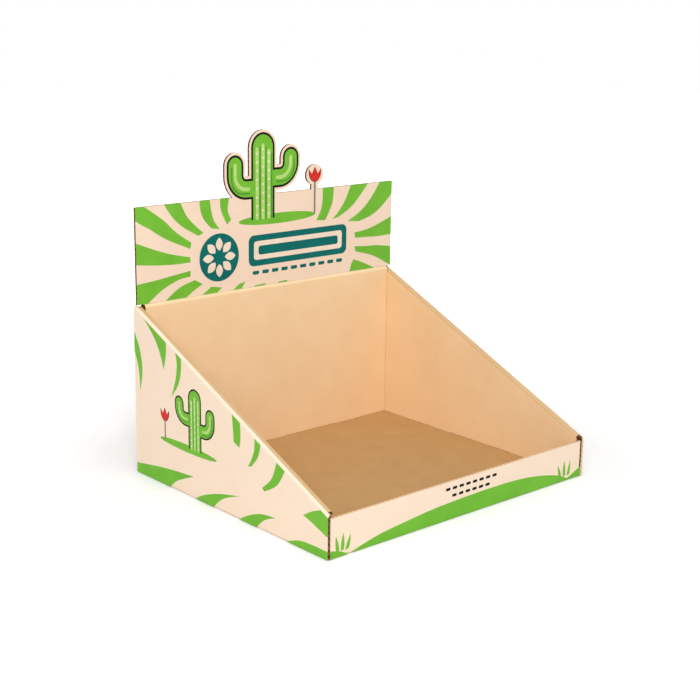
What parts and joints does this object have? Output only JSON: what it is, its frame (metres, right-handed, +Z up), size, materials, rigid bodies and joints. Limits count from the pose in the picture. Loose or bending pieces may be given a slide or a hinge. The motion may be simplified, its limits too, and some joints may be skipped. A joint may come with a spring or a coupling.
{
  "type": "counter display box",
  "caption": "Open counter display tray folded from corrugated board, with sloping double side walls, a low front lip and an upright die-cut header card in the back wall.",
  "frame": {"origin": "middle of the tray's footprint, on the underside of the base", "axes": "+X to the right along the front lip, +Y from the front lip to the back wall, +Z up"},
  "size_m": [0.4, 0.344, 0.3928],
  "materials": {
    "printed_board": "matte cream printed liner outside, plain tan and kraft liner inside, brown raw edges",
    "header_board": "matte printed liner, brown raw edges"
  },
  "bodies": {
    "root": {"display_tray": "printed_board", "header_card": "header_board"}
  },
  "joints": []
}
